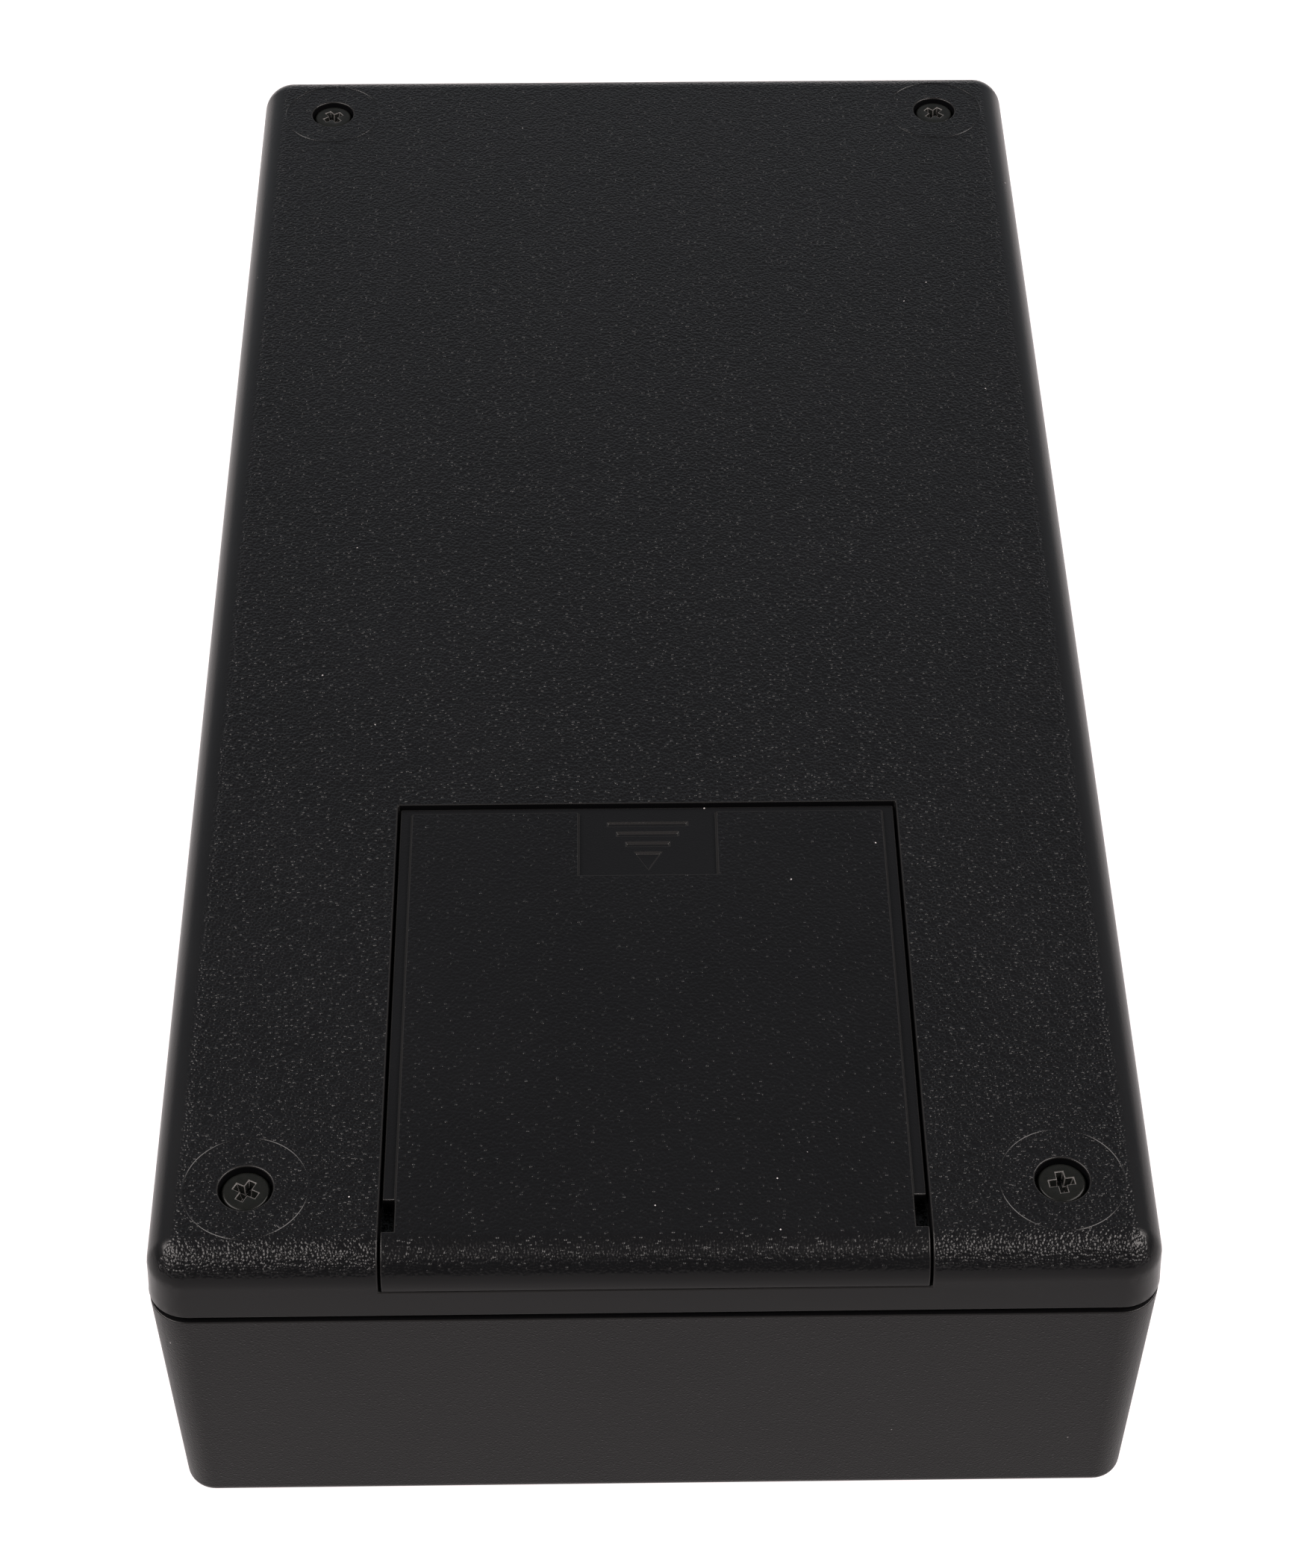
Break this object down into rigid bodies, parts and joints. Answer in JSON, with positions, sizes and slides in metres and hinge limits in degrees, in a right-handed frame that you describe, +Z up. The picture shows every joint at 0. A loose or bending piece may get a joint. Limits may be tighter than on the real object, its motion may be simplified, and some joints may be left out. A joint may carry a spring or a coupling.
{
  "type": "handheld enclosure",
  "caption": "Handheld plastic enclosure: deep body shell, screwed back cover, and a slide-off battery door over a cell bay with spring contacts.",
  "frame": {"origin": "centre of the face that the housing rests on", "axes": "+Z up through the cover, +Y along the length away from the end where the battery door comes off, +X to the right seen from that end"},
  "size_m": [0.1102, 0.22, 0.0447],
  "materials": {
    "shell_plastic": "black moulded ABS with a fine spark-eroded grain",
    "door_plastic": "black moulded ABS, finely grained panel with smooth bands",
    "black_screw": "black-finished steel",
    "contact_plate": "nickel-plated sheet steel",
    "spring_wire": "nickel-plated spring wire"
  },
  "bodies": {
    "housing": {"body_shell": "shell_plastic", "back_cover": "shell_plastic", "cover_screws": "black_screw", "positive_terminal": "contact_plate", "negative_terminal": "contact_plate", "rear_link": "contact_plate", "front_link_left": "contact_plate", "front_link_right": "contact_plate", "spring_1": "spring_wire", "spring_2": "spring_wire", "spring_3": "spring_wire", "spring_4": "spring_wire"},
    "door": {"battery_door": "door_plastic"}
  },
  "joints": [
    {"name": "door_slide", "type": "slide", "parent": "housing", "child": "door", "axis": [0, -1, 0], "range_m": [0, 0.072]}
  ]
}
